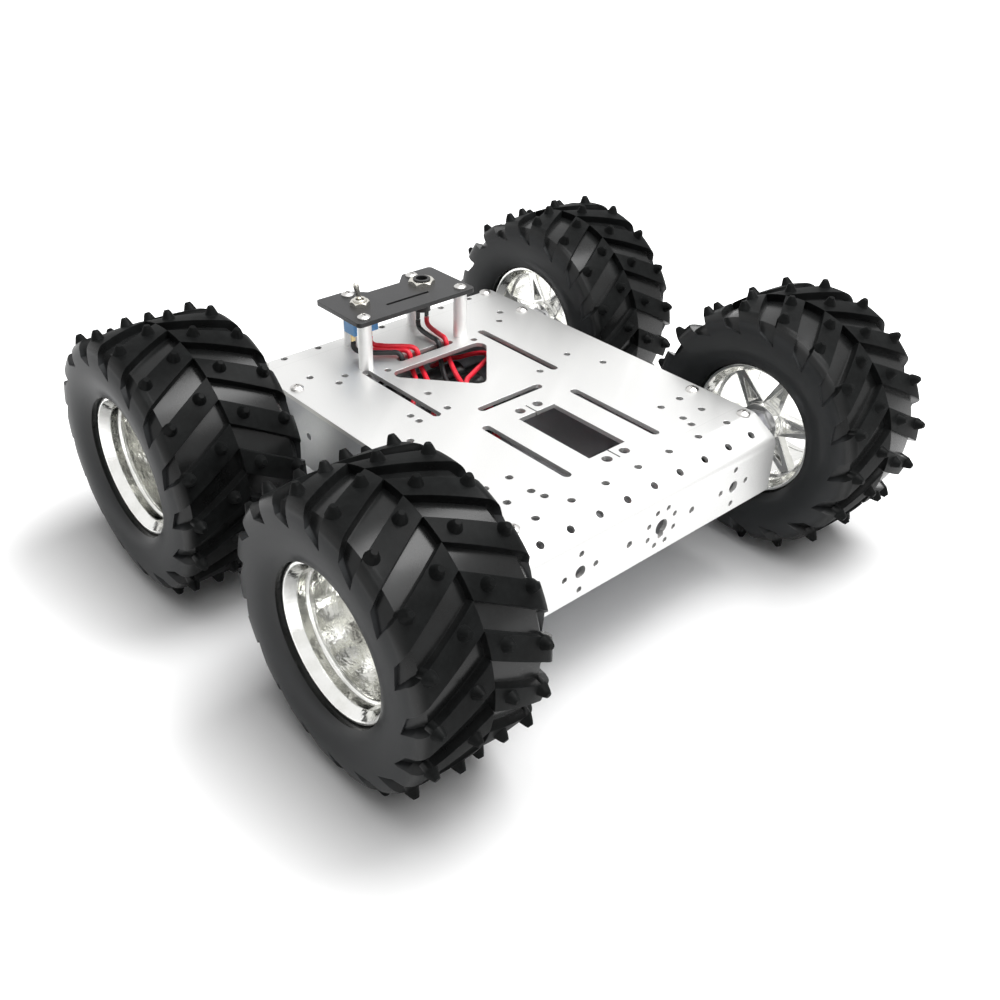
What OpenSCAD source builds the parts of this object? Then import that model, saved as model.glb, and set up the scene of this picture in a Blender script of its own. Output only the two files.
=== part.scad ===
// Four-wheel-drive off-road robot chassis.
// Frame: origin on the floor under the middle of the chassis, +X forward, +Y left, +Z up.

/* [Wheels] */
// Distance between the front and rear axles
wheelbase = 145; // [135:1:170]
// Gap between the chassis and the inner sides of the tyres
tyre_gap = 12.2; // [8:0.2:20]
// Height of the deck's top face above the axles
axle_drop = 20; // [18:0.5:22]

/* [Tyre] */
// Radius of the tread bars' tops at the middle of the tyre
bar_top_r = 55.4; // [53:0.2:58]
// Width of the tyre
tyre_w = 59.8; // [57:0.2:63]
// Depth of the grooves between the tread bars
bar_depth = 3.4; // [2:0.2:4]
// Tread bars on each half of the tyre
bar_count = 17; // [14:1:20]
// Part of the pitch that a bar fills
bar_share = 0.48; // [0.42:0.01:0.54]
// Lean of the bars, in degrees from the axle's direction
bar_lean = 30; // [22:1:36]
// Angle of the first bar's leading edge
tread_phase = 5.5; // [0:0.5:21]
// Radius of the crown across the tread
crown_r = 320; // [240:10:500]
// Radius of the rounded sidewall
side_r = 22; // [20:0.5:25]
// Thickness of the rubber under the grooves
tyre_wall = 3.2; // [2.4:0.2:4]
// Height of the studs on the bars
stud_h = 3.4; // [1:0.2:5]
// Radius of a stud at its foot
stud_foot_r = 2.7; // [2:0.1:3.2]
// Radius of a stud at its tip
stud_tip_r = 1.1; // [0.8:0.1:1.8]
// Distances of the two studs from the tyre's middle
stud_rows = [7, 22.5];
// Turn of the four wheels at rest: front left, front right, rear left, rear right
wheel_turns = [9.5, 0, -5.5, -1.8];

/* [Rim] */
// How far the rim's lips lie inside the tyre's sides
rim_inset = 5.9; // [5:0.1:7]
// Radius of the lips
lip_r = 30.6; // [29:0.2:33]
// Thickness of the lips
lip_t = 2.6; // [2:0.2:4]
// Outer radius of the barrel
barrel_r = 28; // [26.5:0.5:28.5]
// Wall of the barrel
barrel_wall = 1.8; // [1.2:0.2:2.4]
// Width of the lips' flat faces
lip_flat = 1.7; // [1:0.1:2.4]
// Depth of the flare from a lip down to the barrel
flare_depth = 4; // [3:0.2:6]
// Depth of the bright ring inside the dish
ring_depth = 8.5; // [6:0.5:12]
// Radius of the ring's round edge
ring_edge_r = 0.8; // [0.6:0.1:1.4]
// Distance from the outer lip to the star of spokes
dish_depth = 34; // [28:0.5:36]
// Spokes in the star
spokes = 6; // [5:1:8]
// Thickness of the star
star_t = 4.6; // [3:0.2:6]
// Width of a spoke at the hub
spoke_foot_w = 11; // [8:0.5:12]
// Width of a spoke at the barrel
spoke_tip_w = 4.6; // [3:0.2:7]
// Depth of the hollow in the back of each spoke
spoke_hollow = 2.4; // [1:0.2:3]
// Radius of the rim's hub
rim_hub_r = 9.6; // [8.5:0.2:11]
// Length of the rim's hub
rim_hub_l = 8; // [7:0.5:10]

/* [Drive] */
// Width across the flats of the hub adapter's hexagon
hex_af = 12; // [10:0.5:14]
// Depth of the hexagon in the rim's hub
hex_depth = 4; // [3:0.5:5]
// Radius of the hub adapter's round part
adapter_r = 4.6; // [4:0.2:6]
// Radius of the output shaft
shaft_r = 2; // [1.5:0.25:2.5]
// How far the shaft reaches into the gearbox
shaft_in = 14; // [8:1:18]
// How far the shaft reaches into the hub adapter
shaft_grip = 10; // [8:1:14]
// Radius of the gearbox and the motor
motor_r = 10; // [8:0.5:10]
// Length of the gearbox
gearbox_l = 20; // [18:1:26]
// Length of the motor can
motor_l = 23; // [18:1:28]
// Height over the motor can's flat sides
motor_flat = 15.4; // [12:0.2:18]
// Radius of the boss round the output shaft
boss_r = 3.5; // [3:0.25:4.5]
// Half the distance between the gearbox screws
gearbox_screw_half = 7.2; // [6:0.1:7.5]

/* [Deck] */
// Thickness of all chassis sheets
sheet = 2; // [1.5:0.5:2.5]
// Half the length of the deck's flat part
flat_half = 85; // [84:0.5:90]
// Slope of the deck's ends, in degrees
slope = 31; // [25:1:40]
// Distance from the middle to the outer face of the end walls
end_x = 97.8; // [96:0.2:104]
// Depth of the chassis box
box_h = 32.5; // [32:0.5:40]
// Width of the deck
deck_w = 142.8; // [138:0.2:160]
// Inner radius of the bends
bend_r = 3; // [2.8:0.2:4]
// Width of the long slots
slot_w = 4; // [3:0.5:5]
// Length and width of the servo cut-out
servo_size = [41, 20.5];
// Distance from the middle to the servo cut-out
servo_x = 46; // [44:0.5:50]
// Distances between the servo's mounting holes
servo_pitch = [50.2, 10];
// Radius of the servo's mounting holes
servo_hole_r = 2.25; // [1.5:0.25:2.5]
// Radius of the small holes
hole_r = 1.6; // [1.2:0.1:2]
// Pitch of the hole rows near the ends of the deck
row_pitch = 18.3; // [15:0.1:20]
// Distance from the middle to these rows
row_x = 83; // [80:0.5:84]
// Pitch of the holes in the sloped ends
slope_pitch = 15.2; // [12:0.2:16]
// Hole circle of the sensor patterns in the end walls
sensor_circle = 16.4; // [14:0.2:17]
// Radius of the sensor patterns' middle holes
sensor_hole_r = 2.6; // [2:0.1:3]
// Distance from the middle to the side sensor patterns
sensor_y = 45; // [35:1:50]
// Distance of the edge screws from the deck's edges
edge_screw_inset = 5.2; // [4.4:0.2:8]

/* [Switch bracket] */
// Clear height under the bracket
post_h = 22; // [18:0.5:30]
// Radius of the posts
post_r = 3.2; // [2.5:0.1:4]
// Distance from the middle to the front posts
post_x = -52.4; // [-54:0.2:-52]
// Distance from the front posts to the rear posts
post_step = 25; // [22:0.5:26]
// Half the distance between the front posts
post_half = 27.4; // [26:0.2:29]
// Half the distance between the rear posts
rear_post_half = 18.4; // [17:0.2:19.6]
// Sideways place of the bracket's middle
bracket_y = -4; // [-8:0.5:0]
// Width of the bracket
bracket_w = 66; // [62:0.5:72]
// Margin from the post axes to the bracket's edges
bracket_margin = 4.4; // [4:0.1:6]
// Place of the toggle switch
toggle_at = [-65, -24.4];
// Place of the power jack
jack_at = [-67.4, 12.6];
// Tilt of the toggle lever from upright, in degrees
lever_tilt = 12; // [8:1:15]

/* [Power] */
// Cells in the battery pack
cells = 4; // [3:1:4]
// Radius of a cell
cell_r = 7.25; // [6.5:0.25:7.5]
// Length of a cell
cell_l = 50.5; // [44:0.5:51]
// Radius of the wires
wire_r = 1.2; // [0.8:0.1:1.2]

/* [Fits] */
// Clearance round a turning shaft
run_gap = 0.05; // [0.02:0.01:0.08]
// Clearance between pieces that lie beside each other
side_gap = 0.3; // [0.2:0.1:0.5]
// Clearance of seated pieces
seat_gap = 0.1; // [0.05:0.05:0.2]

/* [Hidden] */
fine = 96;
mid = 48;
CORNERS = [["front_left", 1, 1, wheel_turns[0]], ["front_right", 1, -1, wheel_turns[1]],
           ["rear_left", -1, 1, wheel_turns[2]], ["rear_right", -1, -1, wheel_turns[3]]];
WHEEL_PARTS = ["tyre", "rim", "hub_adapter", "wheel_screw", "drive_shaft"];
MOTOR_PARTS = ["gearbox", "motor", "terminals"];

// Tyre, about its own axle: the axle is the Z axis and +Z points away from the chassis
pitch = 360 / bar_count;
pitch_w = pitch * PI / 180 * bar_top_r;
bar_w = bar_share * pitch_w;
lean = tan(bar_lean);
lean_step = 180 / PI * lean / bar_top_r;
tread_half = 26;
side_mid = [bar_top_r - 12.4, tyre_w / 2 - side_r];
groove_r = 14;
groove_mid = [bar_top_r - 15.4, tyre_w / 2 - groove_r - 0.8];
groove_tip_r = bar_top_r - 12;
groove_knee_r = bar_top_r - 7.4;
groove_draft = 0.12;
shoulder_r = 5;
shoulder_lift = 0.05;
crown_mid = [bar_top_r - crown_r, 0];
shoulder_in = shoulder_r - shoulder_lift;
shoulder_mid = meet(crown_mid, crown_r - shoulder_in, side_mid, side_r - shoulder_in);
shoulder_top = shoulder_mid + shoulder_r * unit(shoulder_mid - crown_mid);
shoulder_side = shoulder_mid + shoulder_r * unit(shoulder_mid - side_mid);
function unit(v) = v / norm(v);
function meet(a, ra, b, rb) =
  let (d = norm(b - a), u = (b - a) / d)
  let (x = (d * d + ra * ra - rb * rb) / (2 * d), h = sqrt(ra * ra - x * x))
  a + x * u + h * [-u[1], u[0]];
function crown_drop(w) = crown_r - sqrt(crown_r * crown_r - w * w);
function bar_angle(k, half) = tread_phase + (k + bar_share / 2 - (half > 0 ? 0 : 0.5)) * pitch;
function stud_angle(k, half, w) = bar_angle(k, half) - lean_step * w + 1.3 + (w - stud_rows[0]) / 10;
function stud_tip(w) = bar_top_r - crown_drop(w) + stud_h;
STUDS = [for (k = [0:bar_count - 1], half = [1, -1], w = stud_rows)
           [stud_angle(k, half, w), half * w, stud_tip(w)]];
axle_z = max([for (s = STUDS, t = wheel_turns) stud_tip_r * abs(cos(s[0] + t)) - s[2] * sin(s[0] + t)]);
deck_z = axle_z + axle_drop;

// Sides of the chassis box
web_y = deck_w / 2 - 0.6;
web_in = web_y - sheet;
edge_screw_y = deck_w / 2 - edge_screw_inset;
flange_w = 12;
floor_z = deck_z - box_h;
slope_run = end_x - flat_half;
edge_screw_x = [55, 83];
base_screw_x = [15, 50];
base_screw_y = web_in - flange_w / 2;
base_flange_half = 58;
lead_hole = [41, -16];

// Wheel pieces along the axle, from the tyre's middle
rim_w = tyre_w - 2 * rim_inset;
lip_z = rim_w / 2;
star_out = lip_z - dish_depth;
star_in = star_out - star_t;
hub_in = star_out - rim_hub_l;
track = deck_w + tyre_w + 2 * tyre_gap;
wheel_y = track / 2;
boss_out = web_y + side_gap;
adapter_in = boss_out + 8;
adapter_out = wheel_y + hub_in + hex_depth;
screw_r = 2;

// Screw sizes
pan_r = 2.9;
pan_h = 1.9;
m3_r = 1.45;
bracket_screw_l = 6;
post_screw_l = 5;
gearbox_screw_l = 4;

// Bracket, switch and jack
post_top = deck_z + post_h;
bracket_top = post_top + sheet;
POSTS = [for (s = [-1, 1]) each [[post_x, bracket_y + s * post_half],
                                 [post_x - post_step, bracket_y + s * rear_post_half]]];
bracket_slot = [1.8, 24];
bracket_slot_back = 6.4;
bushing_r = 3;
bushing_h = 5.2;
toggle_box = [7.9, 13.2, 9.4];
lever_l = 8.4;
lever_r = 1.2;
lever_pivot_z = bracket_top + 1.6;
jack_r = 4;
jack_body_r = 5;
jack_body_h = 11;
jack_flange_h = 2.6;
jack_nut_h = 2.2;
battery_x = -34;
servo_rib = [6.4, 0.8];

module at_axle(c) {
  translate([c[1] * wheelbase / 2, 0, axle_z])
    mirror([0, c[2] > 0 ? 1 : 0, 0])
      rotate([90, 0, 0])
        translate([0, 0, wheel_y])
          children();
}

module at_wheel(c) {
  at_axle(c)
    rotate([0, 0, c[3]])
      children();
}

module half_section(crown, middle, side) {
  intersection() {
    union() {
      translate(middle)
        circle(r = side, $fn = fine);
      translate([middle[0] - side, -0.5])
        square([3 * side, middle[1] + 0.5]);
    }
    translate([crown - crown_r, 0])
      circle(r = crown_r, $fn = fine);
    translate([0, -0.5])
      square(2 * crown);
  }
}

module tread_half_section() {
  far = 2 * bar_top_r;
  union() {
    intersection() {
      half_section(bar_top_r, side_mid, side_r);
      polygon([[0, -1], [far, -1], [far, shoulder_top[1]], shoulder_top, shoulder_side,
               [shoulder_side[0], tyre_w], [0, tyre_w]]);
    }
    translate(shoulder_mid)
      circle(r = shoulder_r, $fn = mid);
  }
}

module groove_half_section(inset) {
  half_section(bar_top_r - bar_depth - inset, groove_mid, groove_r - inset);
}

module both_halves() {
  for (s = [0, 1])
    mirror([0, s])
      children();
}

module carcass() {
  bead = lip_z - lip_t - seat_gap;
  rotate_extrude($fn = fine)
    both_halves()
      difference() {
        union() {
          tread_half_section();
          square([groove_mid[0], bead]);
        }
        translate([0, -1])
          square([barrel_r + seat_gap, tyre_w]);
        translate([0, bead])
          square([lip_r + seat_gap, tyre_w]);
        translate([0, -2])
          groove_half_section(tyre_wall);
        translate([0, -1])
          square([groove_mid[0], bead - 2 * tyre_wall]);
      }
}

module groove_prism(k, half) {
  top = bar_top_r + 2;
  gap = (pitch_w - bar_w) * cos(bar_lean) / 2;
  taper = gap / bar_top_r + groove_draft;
  wide = gap + 2 * taper;
  knee = gap - taper * (bar_top_r - groove_knee_r);
  rotate([0, 0, bar_angle(k, half) + pitch / 2 - lean_step * tread_half / 2])
    mirror([0, 0, half > 0 ? 0 : 1])
      translate([0, lean * tread_half / 2, 0])
        rotate([bar_lean, 0, 0])
          translate([0, 0, -bar_w])
            linear_extrude(height = 3 * tread_half)
              polygon([[groove_tip_r, -knee], [groove_knee_r, -knee], [top, -wide], [top, wide],
                       [groove_knee_r, knee]]);
}

module grooves() {
  for (half = [1, -1])
    intersection() {
      mirror([0, 0, half > 0 ? 0 : 1])
        rotate_extrude($fn = fine)
          difference() {
            translate([groove_tip_r - 1, -seat_gap / 2])
              square([bar_top_r, tyre_w]);
            groove_half_section(0);
          }
      union()
        for (k = [0:bar_count - 1])
          groove_prism(k, half);
    }
}

module studs() {
  sink = bar_depth;
  neck_h = 0.72 * stud_h;
  neck_r = 0.35 * stud_foot_r + 0.65 * stud_tip_r;
  for (s = STUDS)
    rotate([0, 0, s[0]])
      translate([s[2] - stud_h, 0, s[1]])
        rotate([0, 90, 0])
          rotate_extrude($fn = 24)
            polygon([[0, -sink], [stud_foot_r, -sink], [stud_foot_r, 0], [neck_r, neck_h],
                     [stud_tip_r, stud_h], [0, stud_h]]);
}

module tyre() {
  color([0.09, 0.09, 0.10])
    union() {
      difference() {
        carcass();
        grooves();
      }
      studs();
    }
}

module rim_section() {
  inner_r = barrel_r - barrel_wall;
  edge = 0.6;
  union() {
    translate([inner_r, -lip_z + flare_depth])
      square([barrel_wall, rim_w - 2 * flare_depth]);
    for (s = [0, 1])
      mirror([0, s])
        translate([0, lip_z])
          polygon([[inner_r, -flare_depth], [lip_r - lip_flat, 0], [lip_r - edge, 0], [lip_r, -edge],
                   [lip_r, -lip_t], [barrel_r, -lip_t], [barrel_r, -flare_depth - 1],
                   [inner_r, -flare_depth - 1]]);
    translate([inner_r - ring_edge_r / 2, lip_z - ring_depth])
      circle(r = ring_edge_r, $fn = mid);
    translate([inner_r - ring_edge_r, star_in])
      square([ring_edge_r + barrel_wall / 2, lip_z - ring_depth - star_in]);
  }
}

module spoke_outline(foot, tip, from, to) {
  polygon([[from, -foot / 2], [to, -tip / 2], [to, tip / 2], [from, foot / 2]]);
}

module star() {
  reach = barrel_r - barrel_wall / 2;
  difference() {
    translate([0, 0, star_in])
      linear_extrude(height = star_t)
        for (k = [0:spokes - 1])
          rotate(360 / spokes * k)
            spoke_outline(spoke_foot_w, spoke_tip_w, rim_hub_r / 2, reach);
    for (k = [0:spokes - 1])
      rotate([0, 0, 360 / spokes * k])
        translate([0, 0, star_in - 1])
          linear_extrude(height = spoke_hollow + 1)
            polygon([[rim_hub_r + 1.2, -spoke_foot_w / 2 + 2.6],
                     [reach - 5, 0],
                     [rim_hub_r + 1.2, spoke_foot_w / 2 - 2.6]]);
  }
}

module rim() {
  color([0.86, 0.87, 0.88])
    difference() {
      union() {
        rotate_extrude($fn = fine)
          rim_section();
        star();
        translate([0, 0, hub_in])
          cylinder(h = rim_hub_l, r = rim_hub_r, $fn = mid);
      }
      translate([0, 0, hub_in - 1])
        cylinder(h = hex_depth + 1, r = (hex_af / 2 + seat_gap) / cos(30), $fn = 6);
      translate([0, 0, hub_in])
        cylinder(h = rim_hub_l + 1, r = screw_r + seat_gap, $fn = mid);
    }
}

module hub_adapter() {
  from = adapter_in - wheel_y;
  to = adapter_out - wheel_y - seat_gap;
  color([0.72, 0.72, 0.74])
    difference() {
      union() {
        translate([0, 0, from])
          cylinder(h = to - from - hex_depth - 1, r = adapter_r, $fn = mid);
        translate([0, 0, to - hex_depth - 1])
          cylinder(h = hex_depth + 1, r = hex_af / 2 / cos(30), $fn = 6);
      }
      translate([0, 0, from - 1])
        cylinder(h = shaft_grip + 1 + seat_gap, r = shaft_r + seat_gap / 2, $fn = mid);
      translate([0, 0, to - 8])
        cylinder(h = 9, r = screw_r, $fn = mid);
    }
}

module wheel_screw() {
  to = star_out + seat_gap;
  color([0.75, 0.75, 0.77])
    difference() {
      union() {
        translate([0, 0, hub_in + hex_depth - 6])
          cylinder(h = to - hub_in - hex_depth + 6.5, r = screw_r - seat_gap / 2, $fn = mid);
        translate([0, 0, to])
          cylinder(h = 2.6, r1 = 3.9, r2 = 3.2, $fn = mid);
      }
      translate([0, 0, to + 1.2])
        cylinder(h = 3, r = 1.5, $fn = 6);
    }
}

module drive_shaft() {
  from = web_in - shaft_in - wheel_y;
  to = adapter_in + shaft_grip - wheel_y;
  color([0.7, 0.7, 0.72])
    difference() {
      translate([0, 0, from])
        cylinder(h = to - from, r = shaft_r, $fn = mid);
      translate([shaft_r * 0.75, -shaft_r, to - shaft_grip + 1])
        cube([shaft_r, 2 * shaft_r, shaft_grip]);
    }
}

module gearbox() {
  to = web_in - wheel_y;
  from = to - gearbox_l;
  color([0.62, 0.62, 0.64])
    difference() {
      union() {
        translate([0, 0, from])
          cylinder(h = gearbox_l, r = motor_r, $fn = fine);
        translate([0, 0, to])
          cylinder(h = sheet + side_gap, r = boss_r, $fn = mid);
      }
      translate([0, 0, to - shaft_in - run_gap])
        cylinder(h = shaft_in + sheet + 2, r = shaft_r + run_gap, $fn = mid);
      for (s = [-1, 1])
        translate([s * gearbox_screw_half, 0, to - 5])
          cylinder(h = 6, r = 1.25, $fn = mid);
      for (z = [from + 6, to - 6])
        translate([0, 0, z])
          rotate_extrude($fn = fine)
            translate([motor_r, 0])
              square([1, 0.8], center = true);
    }
}

module motor() {
  to = web_in - gearbox_l - wheel_y;
  color([0.55, 0.56, 0.58])
    union() {
      intersection() {
        translate([0, 0, to - motor_l])
          cylinder(h = motor_l, r = motor_r, $fn = fine);
        translate([0, 0, to - motor_l / 2])
          cube([4 * motor_r, motor_flat, motor_l + 2], center = true);
      }
      translate([0, 0, to - motor_l - 1.6])
        cylinder(h = 2, r = 3, $fn = mid);
    }
}

module terminals() {
  to = web_in - gearbox_l - motor_l - wheel_y;
  color([0.75, 0.6, 0.25])
    for (s = [-1, 1])
      translate([s * 6 - 1.2, -0.3, to - 4.5])
        difference() {
          cube([2.4, 0.6, 4.5]);
          translate([1.2, -1, 1.6])
            rotate([-90, 0, 0])
              cylinder(h = 3, r = 0.6, $fn = 24);
        }
}

// Section of the deck at a depth of t into the sheet: flat top, sloped ends, upright end walls
bend_steps = 8;
function bend(centre, r, from, to) =
  [for (i = [0:bend_steps]) centre + r * [cos(from + (to - from) * i / bend_steps),
                                          sin(from + (to - from) * i / bend_steps)]];
function half_outline(t, fall) =
  let (r = bend_r + sheet - t, top = flat_half - t * tan(slope / 2) - r * tan(slope / 2), wall = end_x - t)
  let (corner = -(wall - flat_half) * tan(slope) - t / cos(slope))
  concat(bend([top, -t - r], r, 90, 90 - slope),
         bend([wall - r, corner - r * tan(45 - slope / 2)], r, 90 - slope, 0),
         [[wall, -box_h - fall]]);

module deck_outline(t, fall) {
  right = half_outline(t, fall);
  left = [for (i = [len(right) - 1:-1:0]) [-right[i][0], right[i][1]]];
  polygon(concat(right, left));
}

module deck_section() {
  difference() {
    deck_outline(0, 0);
    deck_outline(sheet, 1);
  }
}

module slot_outline(from, to) {
  d = to - from;
  len = norm(d);
  translate(from)
    rotate(atan2(d[1], d[0])) {
      translate([0, -slot_w / 2])
        square([len, slot_w]);
      for (x = [0, len])
        translate([x, 0])
          circle(r = slot_w / 2, $fn = mid);
    }
}

module round_triangle(points, r) {
  hull()
    for (p = points)
      translate(p)
        circle(r = r, $fn = 32);
}

// Slots of the deck, each from end to end
inner_slot_y = 25.4;
outer_slot_y = 34;
front_slot = [23, 69];
rear_slot = [-48.5, 0.6];
cross_slot_x = 9.4;
wire_slot_x = -49.5;
SLOTS = concat(
  [for (s = [-1, 1]) each [[[front_slot[0], s * inner_slot_y], [front_slot[1], s * inner_slot_y]],
                           [[rear_slot[0], s * outer_slot_y], [rear_slot[1], s * outer_slot_y]]]],
  [[[cross_slot_x, -16], [cross_slot_x, 16]], [[wire_slot_x, -14], [wire_slot_x, 14]]]);
window_corners = [[-37.5, -22], [-37.5, 22], [-12.4, 0]];
window_corner_r = 4;

// Small holes: two square patterns at the front and board holes at the rear
board_square = 12.2;
board_at = [62.7, 49.8];
PAIRED_HOLES = [[74.5, 42.3], [11, 55.7], [-0.7, 27], [-44.4, 25.3], [-60.2, 56.2]];
SINGLE_HOLES = [[-5.3, 48.7], [-52.8, 49], [-16, -25.2], [-5, -43.2], [0.6, -43.1],
                [-52, -43.2], [-48, -49.2]];
HOLES = concat(
  [for (s = [-1, 1], x = [-1, 1], y = [-1, 1])
     [board_at[0] + x * board_square / 2, s * (board_at[1] + y * board_square / 2)]],
  [for (h = PAIRED_HOLES, s = [-1, 1]) [h[0], s * h[1]]],
  SINGLE_HOLES,
  [for (x = [-row_x, row_x], k = [-3:3]) [x, k * row_pitch]]);

module deck_cuts() {
  for (s = SLOTS)
    slot_outline(s[0], s[1]);
  translate([servo_x, 0])
    square(servo_size, center = true);
  for (x = [-1, 1]) {
    for (y = [-1, 1])
      translate([servo_x + x * servo_pitch[0] / 2, y * servo_pitch[1] / 2])
        circle(r = servo_hole_r, $fn = mid);
    translate([servo_x + x * (servo_size[0] + servo_rib[0]) / 2, 0])
      square([servo_rib[0] + 1, servo_rib[1]], center = true);
  }
  for (h = HOLES)
    translate(h)
      circle(r = hole_r, $fn = 24);
  for (p = POSTS)
    translate(p)
      circle(r = m3_r + seat_gap, $fn = 24);
  for (s = [-1, 1], e = [-1, 1], x = edge_screw_x)
    translate([e * x, s * edge_screw_y])
      circle(r = m3_r + seat_gap, $fn = 24);
}

module end_cuts() {
  wall_mid = -axle_drop - 0.5;
  ring = 8.2;
  for (e = [0, 1])
    mirror([e, 0, 0]) {
      translate([flat_half, 0, 0])
        rotate([0, slope, 0])
          for (k = [-4:4])
            translate([slope_run / cos(slope) * 0.55, k * slope_pitch, -3 * sheet])
              cylinder(h = 6 * sheet, r = hole_r + 0.1, $fn = 24);
      translate([end_x - 2 * sheet, 0, wall_mid])
        rotate([0, 90, 0]) {
          for (y = [-sensor_y, sensor_y])
            translate([0, y, 0])
              pattern(sensor_circle / 2, 4, 0, sensor_hole_r, 1.3);
          pattern(ring, 8, 22.5, 3.4, 1.2);
          translate([3.6, 0, 0])
            cylinder(h = 4 * sheet, r = 1.7, $fn = 24);
          for (y = [-18.4, 18.4])
            translate([0, y, 0])
              cylinder(h = 4 * sheet, r = 1.5, $fn = 24);
        }
    }
}

module pattern(circle_r, count, turn, middle_r, small_r) {
  cylinder(h = 4 * sheet, r = middle_r, $fn = mid);
  for (k = [0:count - 1])
    rotate([0, 0, turn + 360 / count * k])
      translate([circle_r, 0, 0])
        cylinder(h = 4 * sheet, r = small_r, $fn = 24);
}

module top_plate() {
  color([0.88, 0.88, 0.89])
    translate([0, 0, deck_z])
      difference() {
        translate([0, deck_w / 2, 0])
          rotate([90, 0, 0])
            linear_extrude(height = deck_w)
              deck_section();
        translate([0, 0, -2 * sheet])
          linear_extrude(height = 3 * sheet)
            deck_cuts();
        translate([0, 0, -2 * sheet])
          linear_extrude(height = 3 * sheet)
            round_triangle(window_corners, window_corner_r);
        end_cuts();
      }
}

module side_plate(s) {
  far_x = end_x - sheet - side_gap;
  flange_x = far_x - 6;
  color([0.74, 0.75, 0.77])
    translate([0, 0, deck_z])
      mirror([0, s < 0 ? 1 : 0, 0])
        difference() {
          union() {
            translate([0, web_y, 0])
              rotate([90, 0, 0])
                linear_extrude(height = sheet)
                  intersection() {
                    deck_outline(sheet, 0);
                    translate([-far_x, -box_h])
                      square([2 * far_x, box_h]);
                  }
            translate([0, web_y, 0])
              rotate([90, 0, 0])
                linear_extrude(height = flange_w)
                  intersection() {
                    difference() {
                      deck_outline(sheet, 0);
                      deck_outline(2 * sheet, 1);
                    }
                    translate([-flange_x, -box_h])
                      square([2 * flange_x, box_h]);
                  }
            translate([-base_flange_half, web_y - flange_w, sheet - box_h])
              cube([2 * base_flange_half, flange_w, sheet]);
          }
          for (e = [-1, 1]) {
            translate([e * wheelbase / 2, web_in - 1, -axle_drop])
              rotate([-90, 0, 0]) {
                cylinder(h = sheet + 2, r = boss_r + side_gap, $fn = mid);
                for (x = [-gearbox_screw_half, gearbox_screw_half])
                  translate([x, 0, 0])
                    cylinder(h = sheet + 2, r = 1.25 + seat_gap, $fn = 24);
              }
            translate([e * lead_hole[0], web_in - 1, lead_hole[1]])
              rotate([-90, 0, 0])
                cylinder(h = sheet + 2, r = hole_r, $fn = 24);
            for (x = edge_screw_x)
              translate([e * x, edge_screw_y, -4 * sheet])
                cylinder(h = 4 * sheet, r = m3_r + seat_gap, $fn = 24);
            for (x = base_screw_x)
              translate([e * x, base_screw_y, -box_h])
                cylinder(h = 3 * sheet, r = m3_r + seat_gap, $fn = 24);
          }
        }
}

module base_plate() {
  half_l = end_x - sheet - side_gap;
  half_w = web_in - side_gap;
  color([0.78, 0.79, 0.80])
    translate([0, 0, floor_z])
      difference() {
        translate([-half_l, -half_w, 0])
          cube([2 * half_l, 2 * half_w, sheet]);
        for (e = [-1, 1], s = [-1, 1], x = base_screw_x)
          translate([e * x, s * base_screw_y, -1])
            cylinder(h = sheet + 2, r = m3_r + seat_gap, $fn = 24);
      }
}

module pan_screw(length) {
  translate([0, 0, -length])
    cylinder(h = length + 0.1, r = m3_r, $fn = 24);
  difference() {
    intersection() {
      cylinder(h = pan_h, r = pan_r, $fn = mid);
      translate([0, 0, pan_h - 4.2])
        sphere(r = 4.2, $fn = mid);
    }
    for (a = [0, 90])
      rotate([0, 0, a])
        translate([-1.5, -0.3, pan_h - 1])
          cube([3, 0.6, 2]);
  }
}

module deck_screws() {
  color([0.78, 0.78, 0.79])
    for (e = [-1, 1], s = [-1, 1], x = edge_screw_x)
      translate([e * x, s * edge_screw_y, deck_z])
        pan_screw(2 * sheet + 1);
}

module base_screws() {
  color([0.78, 0.78, 0.79])
    for (e = [-1, 1], s = [-1, 1], x = base_screw_x)
      translate([e * x, s * base_screw_y, floor_z])
        mirror([0, 0, 1])
          pan_screw(2 * sheet + 1);
}

module gearbox_screws() {
  color([0.6, 0.6, 0.62])
    for (e = [-1, 1], s = [-1, 1], x = [-gearbox_screw_half, gearbox_screw_half])
      translate([e * wheelbase / 2 + x, s * web_y, axle_z])
        rotate([-90 * s, 0, 0]) {
          translate([0, 0, -sheet - gearbox_screw_l])
            cylinder(h = sheet + gearbox_screw_l + seat_gap, r = 1.2, $fn = 24);
          difference() {
            cylinder(h = 1.6, r1 = 2.3, r2 = 2, $fn = mid);
            translate([0, 0, 0.8])
              cylinder(h = 2, r = 0.9, $fn = 6);
          }
        }
}

module bracket_outline() {
  back = post_x - post_step - bracket_margin;
  front = post_x + bracket_margin;
  notch = 7;
  notch_half = 9;
  corner_r = 2;
  difference() {
    translate([back + corner_r, bracket_y - bracket_w / 2 + corner_r])
      union() {
        for (x = [0, front - back - 2 * corner_r], y = [0, bracket_w - 2 * corner_r])
          translate([x, y])
            circle(r = corner_r, $fn = mid);
        translate([-corner_r, 0])
          square([front - back, bracket_w - 2 * corner_r]);
        translate([0, -corner_r])
          square([front - back - 2 * corner_r, bracket_w]);
      }
    polygon([[back - 1, bracket_y - notch_half - notch - 1], [back + notch, bracket_y - notch_half],
             [back + notch, bracket_y + notch_half], [back - 1, bracket_y + notch_half + notch + 1]]);
  }
}

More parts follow.
